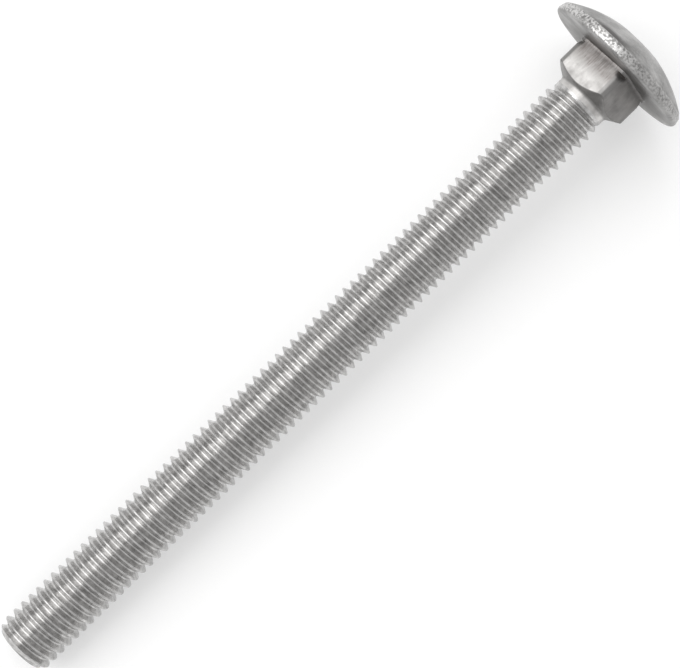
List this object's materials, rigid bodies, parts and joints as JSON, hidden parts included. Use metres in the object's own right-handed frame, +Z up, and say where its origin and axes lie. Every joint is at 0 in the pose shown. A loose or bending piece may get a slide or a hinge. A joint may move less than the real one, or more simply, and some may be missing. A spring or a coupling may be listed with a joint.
{
  "type": "carriage bolt",
  "caption": "Carriage bolt with a low domed head, a square neck and a right-hand thread up to the neck; it lies on its side.",
  "frame": {"origin": "centre of the bolt's footprint, on the ground it lies on", "axes": "+X along the bolt from the tip to the head, measured along the ground; +Z up. The bolt's own axis rises 3.44 degrees above +X towards the head, because the head is wider than the shank."},
  "size_m": [0.1034, 0.0196, 0.0197],
  "materials": {
    "stainless_steel": "satin"
  },
  "bodies": {
    "root": {"bolt": "stainless_steel"}
  },
  "joints": []
}
